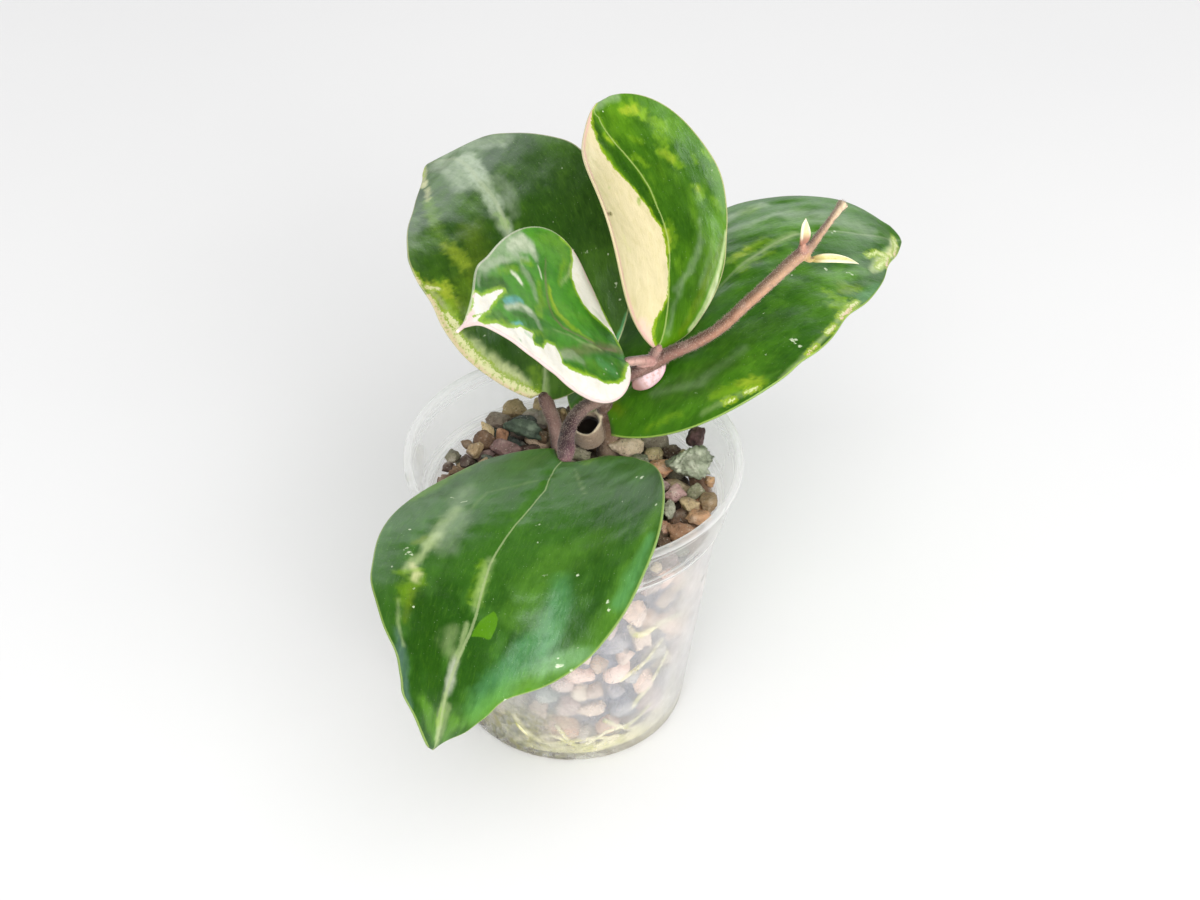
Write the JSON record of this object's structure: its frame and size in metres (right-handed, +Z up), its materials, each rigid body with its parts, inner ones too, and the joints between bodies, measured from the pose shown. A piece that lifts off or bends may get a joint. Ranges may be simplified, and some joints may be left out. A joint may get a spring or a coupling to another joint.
{
  "type": "variegated hoya plant in a clear pot",
  "caption": "Young climbing plant with thick variegated leaves and a bare hairy vine, rooted in mixed gravel in a round clear plastic nursery pot.",
  "frame": {"origin": "on the pot's axis, at the underside of its floor, on the surface that it stands on", "axes": "+Z up along the pot's axis, -Y towards the side that the front leaf hangs over, +X towards the side that the vine grows to"},
  "size_m": [0.1431, 0.2002, 0.1548],
  "materials": {
    "clear_plastic": "clear, slightly hazy",
    "gravel": "matte, mixed colours",
    "sage_stone": "matte",
    "slate_stone": "matte",
    "brown_stone": "matte",
    "leaf": "smooth, waxy, variegated",
    "young_leaf": "soft, matte",
    "stem": "hairy, matte",
    "dry_stalk": "dry, matte",
    "root": "smooth, matte"
  },
  "bodies": {
    "root": {"pot": "clear_plastic", "gravel": "gravel", "stone_sage": "sage_stone", "stone_slate": "slate_stone", "stone_brown": "brown_stone", "stem": "stem", "roots": "root", "dry_stalk": "dry_stalk", "leaf_front": "leaf", "leaf_back": "leaf", "leaf_right": "leaf", "leaf_upright": "leaf", "leaf_curled": "leaf", "leaf_curled_lobe": "leaf", "young_leaf_up": "young_leaf", "young_leaf_side": "young_leaf"}
  },
  "joints": []
}
